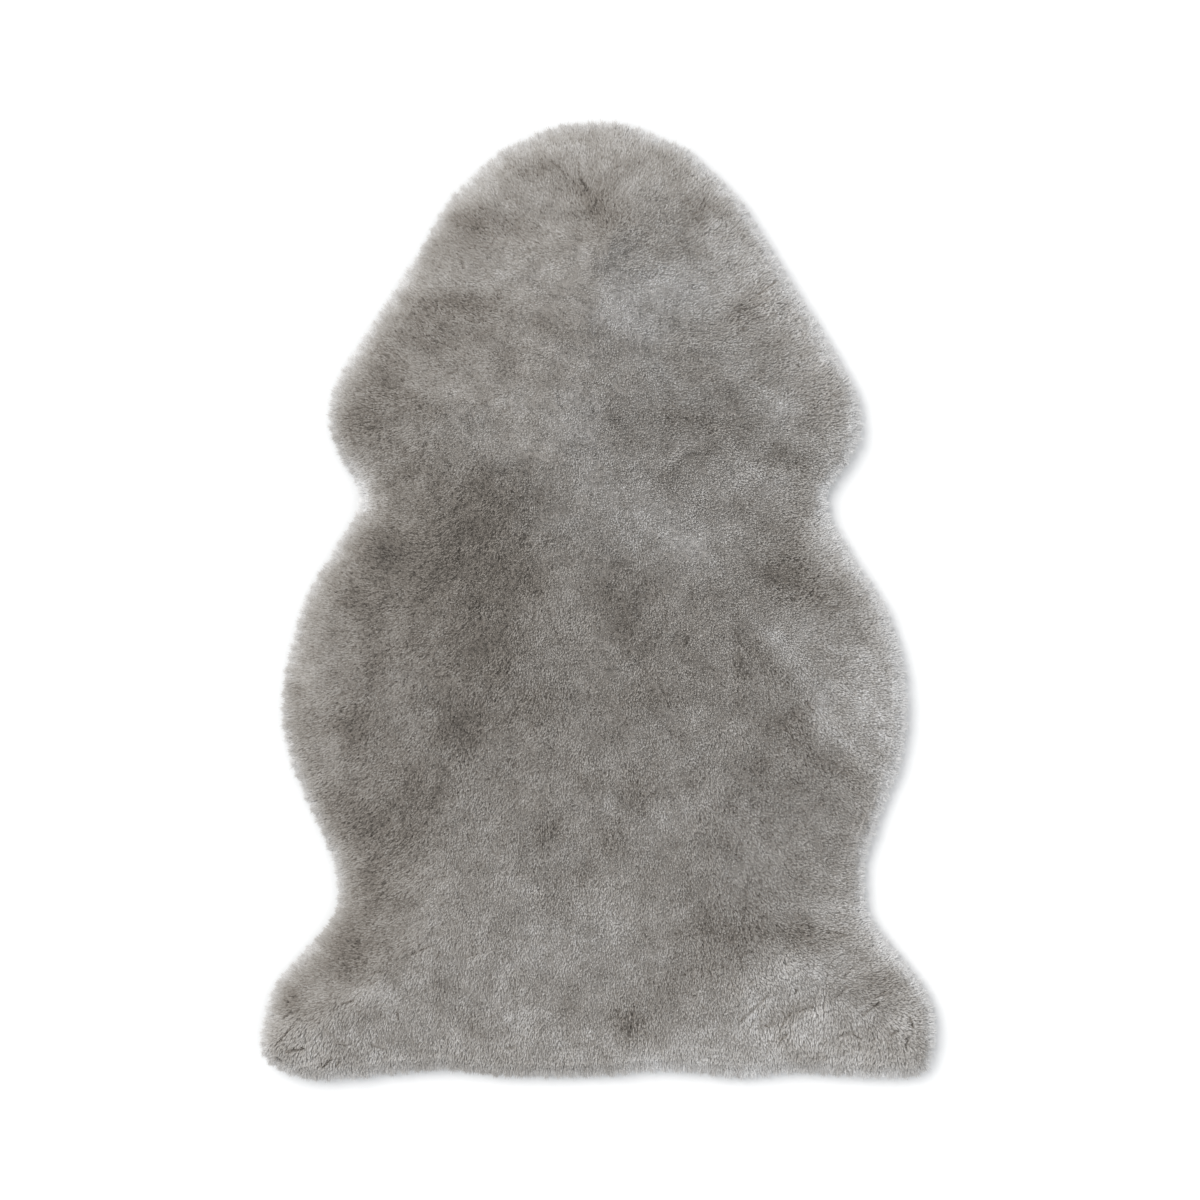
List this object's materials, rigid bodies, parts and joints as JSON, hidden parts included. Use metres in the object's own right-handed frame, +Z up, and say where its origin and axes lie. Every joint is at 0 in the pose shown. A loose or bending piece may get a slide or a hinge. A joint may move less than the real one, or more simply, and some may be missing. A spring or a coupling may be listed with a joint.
{
  "type": "sheepskin rug",
  "caption": "Flat shorn pelt rug with a rounded neck end, bulging shoulders and flanks, drawn-in waists and flared hind corners, wool side up.",
  "frame": {"origin": "on the floor, under the middle of the pelt's outline", "axes": "+Y along the pelt towards its neck end, +X to the right seen from above with the neck end up, +Z up out of the wool"},
  "size_m": [0.6352, 0.9026, 0.0302],
  "materials": {
    "wool": "dense, matte, short grey wool with paler tips at the edge",
    "hide": "matte suede, the flesh side of the tanned hide"
  },
  "bodies": {
    "root": {"sheepskin": "wool"}
  },
  "joints": []
}
